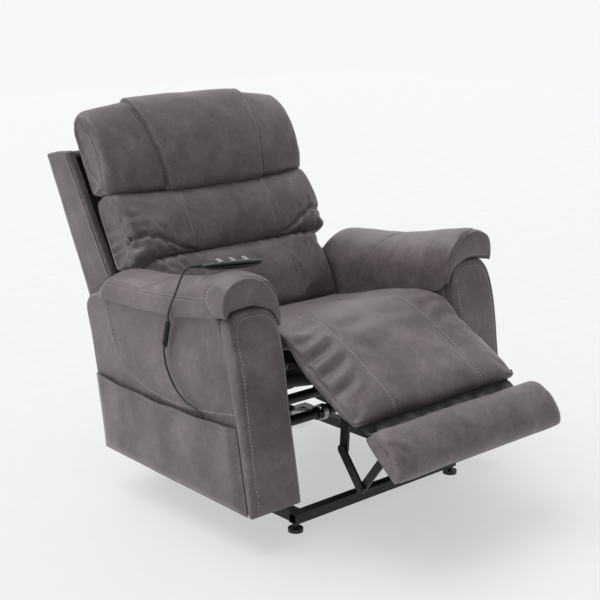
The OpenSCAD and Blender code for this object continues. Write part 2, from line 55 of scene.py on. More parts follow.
# Origin (y, z) in millimetres and turn in degrees of each local side view
PLACES = {"chair": ((0, 0), 0), "back": ((110, 395), -28), "chaise": ((-375, 435), 29.5),
          "footrest": ((-592, 297), 40)}


def to_row(points, place="chair"):
    """Millimetres in a place to metres in the row frame."""
    p = np.asarray(points, float).reshape(-1, 3)
    (y0, z0), turn = PLACES[place]
    c, s = math.cos(math.radians(turn)), math.sin(math.radians(turn))
    return np.column_stack([p[:, 0], y0 + p[:, 1] * c - p[:, 2] * s + FRAME_SHIFT,
                            z0 + p[:, 1] * s + p[:, 2] * c]) / 1000


def to_place(points, place="chair"):
    """Metres in the row frame to millimetres in a place."""
    p = np.asarray(points, float).reshape(-1, 3) * 1000
    (y0, z0), turn = PLACES[place]
    c, s = math.cos(math.radians(turn)), math.sin(math.radians(turn))
    y, z = p[:, 1] - FRAME_SHIFT - y0, p[:, 2] - z0
    return np.column_stack([p[:, 0], y * c + z * s, -y * s + z * c])


# ---------- materials ----------

def nodes_of(name):
    mat = bpy.data.materials.new(name)
    mat.use_nodes = True
    nt = mat.node_tree
    return mat, nt, nt.nodes["Principled BSDF"]


def noise_node(nt, coord, scale, detail=4, rough=0.55, distortion=0.0):
    n = nt.nodes.new("ShaderNodeTexNoise")
    n.inputs["Scale"].default_value = scale
    n.inputs["Detail"].default_value = detail
    n.inputs["Roughness"].default_value = rough
    n.inputs["Distortion"].default_value = distortion
    nt.links.new(coord, n.inputs["Vector"])
    return n


def ramp_node(nt, value, stops):
    r = nt.nodes.new("ShaderNodeValToRGB")
    while len(r.color_ramp.elements) < len(stops):
        r.color_ramp.elements.new(0.5)
    for e, (at, colour) in zip(r.color_ramp.elements, stops):
        e.position, e.color = at, (*colour, 1)
    nt.links.new(value, r.inputs[0])
    return r


def span_node(nt, value, lo, hi, from_lo=0.3, from_hi=0.7):
    m = nt.nodes.new("ShaderNodeMapRange")
    m.inputs["From Min"].default_value, m.inputs["From Max"].default_value = from_lo, from_hi
    m.inputs["To Min"].default_value, m.inputs["To Max"].default_value = lo, hi
    nt.links.new(value, m.inputs["Value"])
    return m


def mix_node(nt, factor, a, b, blend="MIX"):
    m = nt.nodes.new("ShaderNodeMix")
    m.data_type, m.blend_type = "RGBA", blend
    for socket, v in ((m.inputs[0], factor), (m.inputs[6], a), (m.inputs[7], b)):
        if isinstance(v, (int, float)):
            socket.default_value = v
        elif isinstance(v, tuple):
            socket.default_value = (*v, 1)
        else:
            nt.links.new(v, socket)
    return m.outputs[2]


def bump_node(nt, height, strength, distance, normal=None):
    b = nt.nodes.new("ShaderNodeBump")
    b.inputs["Strength"].default_value, b.inputs["Distance"].default_value = strength, distance
    nt.links.new(height, b.inputs["Height"])
    if normal is not None:
        nt.links.new(normal, b.inputs["Normal"])
    return b.outputs[0]


def leather(name, dark, mid, light, rough=(0.35, 0.50), grain=0.35):
    """Brushed faux leather: cloudy two-tone colour, fine pebbled grain and soft creasing."""
    mat, nt, p = nodes_of(name)
    co = nt.nodes.new("ShaderNodeTexCoord").outputs["Object"]
    cloud = noise_node(nt, co, 7, 5, 0.62, 0.4)
    smudge = noise_node(nt, co, 26, 6, 0.66, 0.8)
    fleck = noise_node(nt, co, 170, 3, 0.6)
    base = ramp_node(nt, cloud.outputs["Fac"], [(0.30, dark), (0.50, mid), (0.70, light)])
    small = ramp_node(nt, smudge.outputs["Fac"], [(0.34, (0.80, 0.79, 0.78)), (0.66, (1.16, 1.16, 1.17))])
    dots = ramp_node(nt, fleck.outputs["Fac"], [(0.35, (0.86, 0.86, 0.86)), (0.65, (1.12, 1.12, 1.12))])
    colour = mix_node(nt, 1.0, base.outputs[0], small.outputs[0], "MULTIPLY")
    colour = mix_node(nt, 0.75, colour, dots.outputs[0], "MULTIPLY")
    nt.links.new(colour, p.inputs["Base Color"])
    nt.links.new(span_node(nt, smudge.outputs["Fac"], *rough).outputs[0], p.inputs["Roughness"])
    cells = nt.nodes.new("ShaderNodeTexVoronoi")
    cells.feature = "DISTANCE_TO_EDGE"
    cells.inputs["Scale"].default_value = 620
    warp = noise_node(nt, co, 60, 2)
    bent = mix_node(nt, 0.012, co, warp.outputs["Color"])
    nt.links.new(bent, cells.inputs["Vector"])
    soft = bump_node(nt, smudge.outputs["Fac"], 0.22, 0.004)
    pebble = span_node(nt, cells.outputs["Distance"], 0, 1, 0.0, 0.25)
    nt.links.new(bump_node(nt, pebble.outputs[0], grain, 0.0004, soft), p.inputs["Normal"])
    p.inputs["Specular IOR Level"].default_value = 0.55
    p.inputs["Sheen Weight"].default_value = 0.30
    p.inputs["Sheen Roughness"].default_value = 0.4
    p.inputs["Sheen Tint"].default_value = (0.86, 0.80, 0.84, 1)
    return mat


def paint(name, colour, metallic, rough, speck=0.25, bump=0.15, scale=90):
    """Painted or plated metal, or moulded plastic, with a fine uneven finish. speck is the colour's
    spread to each side."""
    mat, nt, p = nodes_of(name)
    co = nt.nodes.new("ShaderNodeTexCoord").outputs["Object"]
    peel = noise_node(nt, co, scale * 6, 3, 0.6)
    dust = noise_node(nt, co, 14, 6, 0.7, 0.5)
    c0, c1 = tuple(v * (1 - speck) for v in colour), tuple(min(1.0, v * (1 + speck)) for v in colour)
    nt.links.new(ramp_node(nt, dust.outputs["Fac"], [(0.3, c0), (0.7, c1)]).outputs[0], p.inputs["Base Color"])
    r = span_node(nt, dust.outputs["Fac"], rough * 0.82, min(1.0, rough * 1.25))
    nt.links.new(r.outputs[0], p.inputs["Roughness"])
    nt.links.new(bump_node(nt, peel.outputs["Fac"], bump, 0.0004), p.inputs["Normal"])
    p.inputs["Metallic"].default_value = metallic
    return mat


def weave(name, colour):
    """Thin dark lining cloth with a plain weave."""
    mat, nt, p = nodes_of(name)
    co = nt.nodes.new("ShaderNodeTexCoord").outputs["Object"]
    big = noise_node(nt, co, 30, 5, 0.6)
    nt.links.new(ramp_node(nt, big.outputs["Fac"], [(0.3, tuple(v * 0.7 for v in colour)),
                 (0.7, tuple(v * 1.35 for v in colour))]).outputs[0], p.inputs["Base Color"])
    heights = []
    for direction in ("X", "Z"):
        w = nt.nodes.new("ShaderNodeTexWave")
        w.bands_direction = direction
        w.inputs["Scale"].default_value = 300
        w.inputs["Distortion"].default_value = 1.0
        nt.links.new(co, w.inputs["Vector"])
        heights.append(w.outputs["Color"])
    nt.links.new(bump_node(nt, mix_node(nt, 0.5, *heights), 0.4, 0.0004), p.inputs["Normal"])
    p.inputs["Roughness"].default_value = 0.85
    p.inputs["Sheen Weight"].default_value = 0.3
    return mat


HIDE = leather("taupe_leather", dark=(0.092, 0.073, 0.075), mid=(0.134, 0.109, 0.114),
               light=(0.184, 0.153, 0.160))
THREAD = paint("stitching_thread", (0.46, 0.42, 0.41), 0, 0.7, 0.2, 0.3, 200)
STEEL = paint("black_painted_steel", (0.012, 0.012, 0.013), 0.3, 0.38)
ZINC = paint("zinc_steel", (0.42, 0.42, 0.43), 1.0, 0.32, 0.15)
PLASTIC = paint("black_plastic", (0.018, 0.018, 0.019), 0, 0.5, 0.2, 0.35, 120)
HANDSET = paint("handset_plastic", (0.030, 0.031, 0.035), 0, 0.34, 0.15, 0.2, 150)
KEYS = paint("button_plastic", (0.46, 0.47, 0.49), 0, 0.4, 0.06, 0.1, 150)
RUBBER = paint("cord_rubber", (0.022, 0.023, 0.026), 0, 0.55, 0.2, 0.3, 160)
BUMPER = paint("bumper_rubber", (0.62, 0.58, 0.52), 0, 0.6, 0.12, 0.2, 120)
CLOTH = weave("lining_cloth", (0.030, 0.027, 0.026))
SLOT_MATERIALS = {"upholstery": HIDE, "lining": CLOTH, "black_steel": STEEL, "zinc_steel": ZINC,
                  "black_plastic": PLASTIC, "handset_plastic": HANDSET, "button_plastic": KEYS,
                  "cord_rubber": RUBBER, "bumper_rubber": BUMPER}


# ---------- meshes ----------

# Steps along laid lines and the stitches' sizes, in millimetres, and the length of each simulation
LINE_STEP = 2.5
STITCH_PITCH, STITCH_LENGTH, STITCH_RADIUS = 9.0, 5.8, 0.75
CLOTH_FRAMES = 16


def outward(verts, faces):
    """The faces turned so that a closed form's normals point outwards."""
    v = np.array([tuple(p) for p in verts], float)
    v -= v.mean(0)
    a = np.array([f[0] for f in faces])
    volume = 0.0
    for k in range(1, max(len(f) for f in faces) - 1):
        rows = [i for i, f in enumerate(faces) if len(f) > k + 1]
        b = np.array([faces[i][k] for i in rows])
        c = np.array([faces[i][k + 1] for i in rows])
        volume += np.einsum("ij,ij->", v[a[rows]], np.cross(v[b], v[c]))
    return [f[::-1] for f in faces] if volume < 0 else faces


def new_object(name, verts, faces, material):
    me = bpy.data.meshes.new(name)
    me.from_pydata([tuple(v) for v in verts], [], outward(verts, faces))
    me.update()
    me.polygons.foreach_set("use_smooth", [True] * len(me.polygons))
    me.materials.append(material)
    ob = bpy.data.objects.new(name, me)
    bpy.context.scene.collection.objects.link(ob)
    return ob


def coords(ob):
    c = np.empty(len(ob.data.vertices) * 3)
    ob.data.vertices.foreach_get("co", c)
    return c.reshape(-1, 3)


def set_coords(ob, c):
    ob.data.vertices.foreach_set("co", np.asarray(c, float).ravel())
    ob.data.update()


def normals(ob):
    n = np.empty(len(ob.data.vertices) * 3)
    ob.data.vertices.foreach_get("normal", n)
    return n.reshape(-1, 3)


def loft_faces(rows, count):
    """Quads between rows of count points each, every row a closed ring."""
    return [(i * count + j, i * count + (j + 1) % count, (i + 1) * count + (j + 1) % count, (i + 1) * count + j)
            for i in range(rows - 1) for j in range(count)]


def sheet_faces(nx, ny):
    """Faces of a thin closed sheet: a grid of nx by ny cells, the same grid for its back, and the edge."""
    row = nx + 1
    per = row * (ny + 1)
    faces = []
    for j in range(ny):
        for q in range(j * row, j * row + nx):
            faces.append((q, q + row, q + row + 1, q + 1))
            faces.append((per + q + 1, per + q + row + 1, per + q + row, per + q))
    loop = ([j * row for j in range(ny, -1, -1)] + list(range(1, row)) + [j * row + nx for j in range(1, ny + 1)]
            + list(range(ny * row + nx - 1, ny * row, -1)))
    for q, r in zip(loop, loop[1:] + loop[:1]):
        faces.append((q, r, r + per, q + per))
    return faces


def smooth_curve(points, closed=False, steps=12):
    """Dense Catmull-Rom line through points of any dimension."""
    p = np.asarray(points, float)
    n = len(p)
    out = []
    for i in range(n if closed else n - 1):
        if closed:
            a, b, c, d = p[i - 1], p[i], p[(i + 1) % n], p[(i + 2) % n]
        else:
            a, b, c, d = p[max(i - 1, 0)], p[i], p[i + 1], p[min(i + 2, n - 1)]
        for f in np.arange(steps) / steps:
            out.append(0.5 * (2 * b + (c - a) * f + (2 * a - 5 * b + 4 * c - d) * f ** 2
                              + (3 * b - 3 * c + d - a) * f ** 3))
    if not closed:
        out.append(p[-1])
    return np.array(out)


def spaced(line, step=None, count=None, closed=False):
    """Points evenly spaced along a line, about step apart or count of them."""
    if closed:
        line = np.vstack([line, line[:1]])
    run = np.r_[0, np.cumsum(np.linalg.norm(np.diff(line, axis=0), axis=1))]
    n = count or max(3, int(round(run[-1] / step)))
    at = np.linspace(0, run[-1], n + 1 if closed else n)
    if closed:
        at = at[:-1]
    return np.column_stack([np.interp(at, run, line[:, k]) for k in range(line.shape[1])])


def step_up(v, lo, hi):
    """0 below lo, 1 above hi, smooth between."""
    t = np.clip((np.asarray(v, float) - lo) / (hi - lo), 0, 1)
    return t * t * (3 - 2 * t)


def prism(outline, x0, x1, round_x=20, inset=20, step=9, cap_step=None, bulge=0.0, weight=None, sharp=False):
    """A closed form along x from x0 to x1: an outline in a place's two axes, drawn smooth unless sharp.
    Its ends are rounded over round_x and drawn in by inset, which weight(a, b) scales round the outline,
    and its end faces bulge. step is the size of its faces. Returns local points and faces."""
    pts = np.asarray(outline, float)
    ring = spaced(np.vstack([pts, pts[:1]]) if sharp else smooth_curve(pts, True), step, closed=not sharp)
    if sharp:
        ring = ring[:-1]
    if len(ring) % 2:
        ring = ring[:-1]
    m = len(ring)
    t = np.roll(ring, -1, 0) - np.roll(ring, 1, 0)
    t /= np.linalg.norm(t, axis=1)[:, None] + 1e-9
    inward = np.column_stack([-t[:, 1], t[:, 0]])
    area = np.sum(ring[:, 0] * np.roll(ring[:, 1], -1) - np.roll(ring[:, 0], -1) * ring[:, 1])
    if area < 0:
        inward = -inward
    w = np.ones(m) if weight is None else weight(ring[:, 0], ring[:, 1])
    n_round = max(4, int(round_x * 1.6 / step) + 1)
    phi = np.linspace(0, np.pi / 2, n_round + 1)
    n_mid = max(2, int((x1 - x0 - 2 * round_x) / step))
    stations = [(x0 + round_x * (1 - math.sin(f)), inset * (1 - math.cos(f))) for f in phi[::-1]]
    stations += [(x, 0.0) for x in np.linspace(x0 + round_x, x1 - round_x, n_mid + 1)[1:-1]]
    stations += [(x1 - round_x * (1 - math.sin(f)), inset * (1 - math.cos(f))) for f in phi]
    verts = []
    for x, e in stations:
        r = ring + inward * (e * w)[:, None]
        verts += [(x, a, b) for a, b in r]
    faces = loft_faces(len(stations), m)
    half = m // 2
    start = int(np.argmin(ring @ cap_axis(ring)))
    gap = cap_step or step
    for side, first in ((-1, 0), (1, (len(stations) - 1) * m)):
        one = [first + (start + j) % m for j in range(half + 1)]
        two = [first + (start - j) % m for j in range(half + 1)]
        a = np.array([verts[q] for q in one], float)
        b = np.array([verts[q] for q in two], float)
        columns = max(3, int(np.linalg.norm(a - b, axis=1).max() / gap))
        run = np.clip(np.sin(np.pi * np.arange(half + 1) / half), 0, None) ** 0.5
        grid = [one]
        for k in range(1, columns):
            f = k / columns
            rise = bulge * run * (1 - abs(2 * f - 1) ** 3)
            row = [one[0]]
            for j in range(1, half):
                row.append(len(verts))
                verts.append(tuple(a[j] + (b[j] - a[j]) * f + [side * rise[j], 0, 0]))
            grid.append(row + [one[half]])
        grid.append(two)
        for g0, g1 in zip(grid, grid[1:]):
            for j in range(half):
                face = tuple(dict.fromkeys((g0[j], g1[j], g1[j + 1], g0[j + 1])))
                faces.append(face if side > 0 else face[::-1])
    return np.array(verts), faces


def cap_axis(ring):
    """The long direction of an outline."""
    around = ring - ring.mean(0)
    return np.linalg.eigh(around.T @ around)[1][:, 1]


def line_distance(ob, lines):
    """Distance in millimetres of each point of a piece to the nearest of some lines in row metres."""
    dense = np.vstack([spaced(line * 1000, LINE_STEP) for line in lines])
    tree = KDTree(len(dense))
    for i, p in enumerate(dense):
        tree.insert(p, i)
    tree.balance()
    return np.array([tree.find(p)[2] for p in coords(ob) * 1000])


def inflate(ob, pinned, pressure, cap):
    """Cloth simulation: the closed form swells between its pinned seams. cap is the furthest that
    a point may move, in millimetres."""
    scene = bpy.context.scene
    rest = coords(ob)
    group = ob.vertex_groups.new(name="pins")
    group.add([int(i) for i in np.nonzero(pinned)[0]], 1.0, "REPLACE")
    mod = ob.modifiers.new("Cloth", "CLOTH")
    s = mod.settings
    s.quality = 4
    s.mass = 0.3
    s.tension_stiffness = s.compression_stiffness = 12
    s.shear_stiffness = 6
    s.bending_stiffness = 0.6
    s.use_pressure = True
    s.uniform_pressure_force = pressure
    s.vertex_group_mass = "pins"
    s.effector_weights.gravity = 0
    mod.collision_settings.use_collision = False
    mod.point_cache.frame_start, mod.point_cache.frame_end = 1, CLOTH_FRAMES
    for f in range(1, CLOTH_FRAMES + 1):
        scene.frame_set(f)
    bpy.context.view_layer.update()
    soft = ob.evaluated_get(bpy.context.evaluated_depsgraph_get())
    move = coords(soft) - rest
    size = np.linalg.norm(move, axis=1) + 1e-12
    limit = cap / 1000
    move *= (limit * np.tanh(size / limit) / size)[:, None]
    ob.modifiers.remove(mod)
    ob.vertex_groups.remove(group)
    set_coords(ob, rest + move)
    scene.frame_set(1)


def subdivide(ob):
    """Splits each face in four on the smooth surface."""
    mod = ob.modifiers.new("Subdivision", "SUBSURF")
    mod.levels = mod.render_levels = 1
    mod.uv_smooth = "NONE"
    deps = bpy.context.evaluated_depsgraph_get()
    me = bpy.data.meshes.new_from_object(ob.evaluated_get(deps))
    ob.modifiers.clear()
    old = ob.data
    ob.data = me
    bpy.data.meshes.remove(old)
    me.polygons.foreach_set("use_smooth", [True] * len(me.polygons))


def push(ob, amount_mm):
    """Moves each vertex along its normal."""
    set_coords(ob, coords(ob) + normals(ob) * (np.asarray(amount_mm)[:, None] / 1000))


def rumple(ob, amount, size, seed):
    """Large soft unevenness: amount in millimetres, size in metres. It is the same on each run."""
    h = [noise.noise(Vector((p[0] / size + seed, p[1] / size, p[2] / size)))
         + 0.4 * noise.noise(Vector((p[0] / size * 2.6, p[1] / size * 2.6 + seed, p[2] / size * 2.6)))
         for p in coords(ob)]
    push(ob, np.array(h) * amount)


def folds(flat, segments):
    """Height in mm of folds at points of a flat 2D view. Each segment is
    (a0, b0, a1, b1, width, depth): a valley with a low ridge on each side, fading at its ends."""
    h = np.zeros(len(flat))
    for a0, b0, a1, b1, width, depth in segments:
        p0, d = np.array([a0, b0], float), np.array([a1 - a0, b1 - b0], float)
        length = np.linalg.norm(d)
        d /= length
        rel = flat - p0
        along = rel @ d / length
        across = rel @ np.array([-d[1], d[0]]) + 0.10 * length * np.sin(np.clip(along, 0, 1) * np.pi)
        fade = np.clip(np.minimum(along, 1 - along) / 0.32 + 0.25, 0, 1)
        fade = np.where((along < -0.08) | (along > 1.08), 0, fade * fade * (3 - 2 * fade))
        h += fade * depth * (-np.exp(-(across / width) ** 2)
                             + 0.5 * np.exp(-((np.abs(across) - 2.0 * width) / (1.1 * width)) ** 2))
    return h


def surface(ob):
    return BVHTree.FromPolygons([tuple(v) for v in coords(ob)], [tuple(p.vertices) for p in ob.data.polygons])


def lay(ob, lines):
    """Lines in row metres laid on a piece's surface."""
    tree = surface(ob)
    return [np.array([tree.find_nearest(Vector(p))[0] for p in spaced(line, LINE_STEP / 1000)]) for line in lines]


def groove(ob, lines, depth, width):
    """Sinks the surface along lines in row metres, by depth and width in millimetres."""
    push(ob, -depth * np.exp(-(line_distance(ob, lines) / width) ** 2))


# Each row of stitches until it is sewn: centre, direction, normal and side of every dash, by key
dashes = {}


def stitch(key, ob, lines, sides):
    """A row of dashes beside each line in row metres, laid on the piece's surface. sides are the
    rows' distances from their lines in millimetres."""
    tree = surface(ob)
    for line, side in zip(lines, sides):
        pts = spaced(line, STITCH_PITCH / 1000)
        for p, t in zip(pts, np.gradient(pts, axis=0)):
            hit, n, _, _ = tree.find_nearest(Vector(p))
            t = Vector(t)
            t = t - n * t.dot(n)
            if t.length < 1e-9:
                continue
            t.normalize()
            across = n.cross(t)
            hit, n, _, _ = tree.find_nearest(hit + across * side / 1000)
            dashes.setdefault(key, []).append((hit + n * 0.0003, t, n, across))


def sew(key, name, body=None, blend=None):
    """All the dashes of one key as one mesh of small capsules. They ride on a body, or, when blend is given,
    stay fixed in the row frame; blend's two bodies and the start and end of its bend are not used."""
    half, r = STITCH_LENGTH / 2000, STITCH_RADIUS / 1000
    verts, faces = [], []
    for c, t, n, side in dashes[key]:
        base = len(verts)
        for along, scale in ((-1, 0.35), (-0.72, 1), (0.72, 1), (1, 0.35)):
            for k in range(6):
                a = math.pi / 3 * k
                verts.append(c + t * along * half + (n * math.cos(a) * 0.8 + side * math.sin(a)) * r * scale)
        for i in range(3):
            for k in range(6):
                a, b = base + i * 6 + k, base + i * 6 + (k + 1) % 6
                faces.append((a, b, b + 6, a + 6))
        faces.append(tuple(base + k for k in range(5, -1, -1)))
        faces.append(tuple(base + 18 + k for k in range(6)))
    ob = new_object(name, verts, faces, THREAD)
    if blend:
        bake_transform(ob)
    else:
        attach(ob, body)


def pair(points, place="chair"):
    """A smooth line through a place's points and its mirror image across the chair, in row metres."""
    line = smooth_curve(points)
    return [to_row(line, place), to_row(line * [-1, 1, 1], place)]


# ---------- camera, light and floor ----------

FLOOR_HALF = 9.0
# The studio's brightness in front of the chair and behind it
LEVEL_FRONT, LEVEL_BEHIND = 0.26, 0.945
# Name, direction, angle in degrees and strength of each soft sun
LIGHTS = [("sky_softbox", (-0.30, 0.45, 1.25), 48, 1.60), ("side_softbox", (-1.0, -0.10, 0.60), 50, 0.05)]
CAMERA_AT = (-2.27272, -2.54331, 1.37148)
CAMERA_TILT, CAMERA_HEADING = 75.26, -41.88
CAMERA_LENS, CAMERA_SENSOR = 79.75, 36


def stage_and_light():
    """A floor that glows a little, so that shadows on it stay pale, and a studio that is bright behind."""
    pale = paint("studio_floor", (0.30, 0.298, 0.302), 0, 0.6, 0.01, 0.02, 20)
    glow = pale.node_tree.nodes["Principled BSDF"]
    glow.inputs["Emission Color"].default_value = (1.0, 0.993, 1.0, 1)
    glow.inputs["Emission Strength"].default_value = 0.52
    corners = [(FLOOR_HALF * i, FLOOR_HALF * j, 0) for i, j in ((-1, -1), (1, -1), (1, 1), (-1, 1))]
    new_object("floor", corners, [(0, 1, 2, 3)], pale)
    world = bpy.data.worlds.new("studio")
    bpy.context.scene.world = world
    world.use_nodes = True
    nt = world.node_tree
    where = nt.nodes.new("ShaderNodeSeparateXYZ")
    nt.links.new(nt.nodes.new("ShaderNodeTexCoord").outputs["Generated"], where.inputs[0])
    level = span_node(nt, where.outputs["Y"], LEVEL_FRONT, LEVEL_BEHIND, -0.8, 0.35)
    level.clamp = True
    nt.links.new(mix_node(nt, level.outputs[0], (0.0, 0.0, 0.0), (1.0, 0.992, 1.0)),
                 nt.nodes["Background"].inputs[0])
    bpy.context.scene.view_settings.view_transform = "Standard"
    for name, towards, angle, power in LIGHTS:
        light = bpy.data.lights.new(name, "SUN")
        light.angle, light.energy = math.radians(angle), power
        ob = bpy.data.objects.new(name, light)
        ob.rotation_euler = Vector(towards).to_track_quat("Z", "Y").to_euler()
        bpy.context.scene.collection.objects.link(ob)


def camera():
    cam = bpy.data.cameras.new("camera")
    cam.lens, cam.sensor_width = CAMERA_LENS, CAMERA_SENSOR
    ob = bpy.data.objects.new("camera", cam)
    ob.location = CAMERA_AT
    ob.rotation_euler = (math.radians(CAMERA_TILT), 0, math.radians(CAMERA_HEADING))
    bpy.context.scene.collection.objects.link(ob)
    bpy.context.scene.camera = ob


camera()
stage_and_light()


# ---------- cord ----------

CORD_UPPER = [(-458, -210, 662), (-466, -207, 660), (-472, -203, 653), (-475.5, -196, 640), (-476, -183, 617),
              (-476, -165, 585), (-475, -146, 556), (-471, -132, 535), (-467, -125, 524), (-464, -122, 515)]
CORD_LOWER = [(-462, -100, 443), (-461, -97, 432), (-460, -98, 418), (-460, -104, 396), (-460, -121, 368),
              (-460, -145, 343), (-460, -176, 326), (-460, -210, 318), (-459, -236, 308), (-457, -247, 292),
              (-457, -249, 272), (-457, -243, 250), (-457, -226, 236), (-457, -206, 232), (-457, -192, 232)]
CURL_TURNS = 11
CURL_RADIUS = 4.9
POINTS_PER_TURN = 14
CORD_DIAMETER = 0.005


def cord():
    """The handset cord, from the outlet in the pocket up through its curl to the handset."""
    low = smooth_curve(CORD_LOWER[::-1], steps=3)
    top = smooth_curve(CORD_UPPER[::-1], steps=3)
    a, b = np.array(CORD_LOWER[0], float), np.array(CORD_UPPER[-1], float)
    axis = (b - a) / np.linalg.norm(b - a)
    u = np.cross(axis, [1, 0, 0])
    u /= np.linalg.norm(u)
    v = np.cross(axis, u)
    curl = []
    n = CURL_TURNS * POINTS_PER_TURN
    for i in range(1, n):
        f = i / n
        r = CURL_RADIUS * min(1.0, min(f, 1 - f) * CURL_TURNS * 1.6)
        ang = 2 * math.pi * CURL_TURNS * f
        curl.append(a + (b - a) * (0.02 + 0.96 * f) + r * (math.cos(ang) * u + math.sin(ang) * v))
    pts = to_row(np.vstack([low, curl, top]))
    data = bpy.data.curves.new("handset_cord", "CURVE")
    data.dimensions = "3D"
    data.bevel_depth = CORD_DIAMETER / 2
    data.bevel_resolution = 3
    data.use_fill_caps = True
    spline = data.splines.new("POLY")
    spline.points.add(len(pts) - 1)
    spline.points.foreach_set("co", np.column_stack([pts, np.ones(len(pts))]).ravel())
    spline.use_smooth = True
    data.materials.append(RUBBER)
    ob = bpy.data.objects.new("handset_cord", data)
    bpy.context.scene.collection.objects.link(ob)
    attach(ob, "chassis")
    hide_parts("handset_cord_upper", "handset_cord_curl", "handset_cord_lower")


cord()


# ---------- back cushions ----------

def finish_piece(ob, body, node):
    """Puts a leather piece on its body in place of its CAD node."""
    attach(ob, body)
    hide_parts(node)


def crown(verts, half, back_off, droop, droop_lo, droop_hi, lift, lift_lo, lift_hi):
    """Sets the ends of a roll back from its middle, lowers their top and lifts their bottom, in mm."""
    x, s, t = verts.T
    e = np.clip(np.abs(x) / half, 0, 1) ** 2.6
    return np.column_stack([x, s + back_off * e * step_up(45 - s, 0, 60),
                            t - droop * e * step_up(t, droop_lo, droop_hi)
                            + lift * e * (1 - step_up(t, lift_lo, lift_hi))])


def headrest():
    """The headrest: a raised middle between two deep seams, and a band round each end."""
    outline = [(62, 408), (66, 470), (66, 560), (62, 618), (45, 652), (15, 665), (-13, 652), (-36, 602), (-50, 530),
               (-46, 452), (-28, 394), (-10, 387), (20, 396)]
    verts, faces = prism(outline, -350, 350, 24, 24, 8, weight=lambda a, b: 0.45 + 0.55 * step_up(50 - a, 0, 50))
    verts = crown(verts, 350, 22, 22, 560, 655, 13, 396, 450)
    x, s, t = verts.T
    seam_x = np.interp(t, [392, 450, 530, 600, 660], [168, 174, 186, 196, 202])
    front = step_up(52 - s, 0, 30)
    centre = 1 - step_up(np.abs(x), seam_x - 4, seam_x + 5)
    ob = new_object("headrest_cushion_leather", to_row(verts, "back"), faces, HIDE)
    seams = pair([(166, -24, 393), (174, -46, 450), (186, -50, 530), (196, -36, 600), (201, -12, 650),
                  (203, 20, 665), (204, 50, 648)], "back")
    near = line_distance(ob, seams)
    inflate(ob, (near < 6) | (s > 58), 5.0, 12)
    push(ob, 9.0 * centre * front - 1.0 * (1 - centre) * front)
    subdivide(ob)
    rumple(ob, 1.2, 0.10, 3.1)
    laid = lay(ob, seams)
    groove(ob, laid, 13.0, 4.5)
    front_edge = [(338, -34, 446), (346, -13, 497), (348, -2, 557), (346, 2, 622), (338, 18, 645)]
    rear_edge = [(344, 22, 437), (348, 46, 490), (348, 52, 564), (344, 48, 618), (336, 40, 640)]
    laid_bands = lay(ob, pair(front_edge, "back") + pair(rear_edge, "back"))
    groove(ob, laid_bands, 2.2, 4.0)
    stitch("headrest", ob, laid + laid_bands, (9.0, -9.0, -4.0, 4.0, 4.0, -4.0))
    finish_piece(ob, "headrest", "headrest_cushion")
    sew("headrest", "headrest_stitching", "headrest")


# The deep crease of the middle roll's left side
CREASE = [(324, -6, 265), (296, -26, 266), (262, -38, 257), (232, -44, 241), (204, -42, 225),
          (176, -34, 212), (152, -26, 205)]


def middle_roll():
    """The middle roll. A deep curved crease on each side sets off the gathered corners below it."""
    outline = [(70, 208), (72, 290), (70, 370), (36, 385), (0, 387), (-26, 376), (-44, 348), (-53, 312), (-52, 262),
               (-43, 222), (-22, 205), (24, 205)]
    verts, faces = prism(outline, -343, 343, 20, 22, 7, weight=lambda a, b: 0.35 + 0.65 * step_up(40 - a, 0, 55))
    verts = crown(verts, 343, 20, -23, 320, 376, 0, 0, 1)
    x, s, t = verts.T
    verts[:, 1] -= 13 * step_up(np.abs(x), 160, 215) * (1 - step_up(t, 208, 244)) * step_up(20 - s, 0, 30)
    ob = new_object("back_middle_roll_leather", to_row(verts, "back"), faces, HIDE)
    seams = pair([(144, -12, 386), (145, -40, 352), (146, -54, 312), (147, -53, 262), (146, -42, 222),
                  (144, -20, 206)], "back")
    near = line_distance(ob, seams)
    inflate(ob, (near < 5) | (s > 60), 5.0, 11)
    subdivide(ob)
    flat = to_place(coords(ob), "back")
    front = step_up(30 - flat[:, 1], 0, 30)
    wrinkles = [(-316, 258, -300, 214, 8, 1.8), (-276, 262, -262, 210, 6.5, 3.6),
                (-243, 246, -222, 207, 6, 3.2), (-272, 262, -300, 300, 9, 2.8),
                (-236, 246, -250, 292, 9, 3.0), (-204, 228, -206, 268, 9, 2.4), (-150, 214, -168, 262, 10, 1.6),
                (-336, 330, -290, 322, 9, 1.8), (312, 258, 296, 212, 8, 2.0),
                (266, 258, 244, 208, 7, 2.8), (228, 236, 214, 206, 7, 2.0), (262, 262, 290, 302, 9, 2.4),
                (228, 242, 240, 286, 9, 2.2), (30, 380, 62, 330, 9, 2.2), (194, 222, 190, 262, 8, 1.8),
                (-60, 210, -54, 250, 10, 1.2), (90, 214, 84, 256, 10, 1.2)]
    push(ob, front * folds(flat[:, [0, 2]], wrinkles))
    side = step_up(np.abs(flat[:, 0]), 322, 334)
    push(ob, side * folds(flat[:, [1, 2]], [(62, 300, 20, 288, 6, 1.8), (62, 268, 18, 262, 6, 2.2),
                                            (60, 336, 30, 332, 7, 1.2), (60, 244, 16, 246, 5, 2.0)]))
    rumple(ob, 1.3, 0.11, 7.7)
    laid, laid_creases = lay(ob, seams), lay(ob, pair(CREASE, "back"))
    groove(ob, laid_creases, 10.0, 7.0)
    groove(ob, laid, 3.4, 4.0)
    laid_bands = lay(ob, pair([(334, -2, 210), (338, 8, 262), (340, 14, 320), (338, 24, 372)], "back")
                     + pair([(340, 58, 214), (342, 60, 280), (342, 60, 340), (340, 58, 372)], "back"))
    groove(ob, laid_bands, 2.4, 4.0)
    stitch("back", ob, laid + laid_bands, (4.5, -4.5, -4.0, 4.0, 4.0, -4.0))
    finish_piece(ob, "back", "back_cushion_middle")


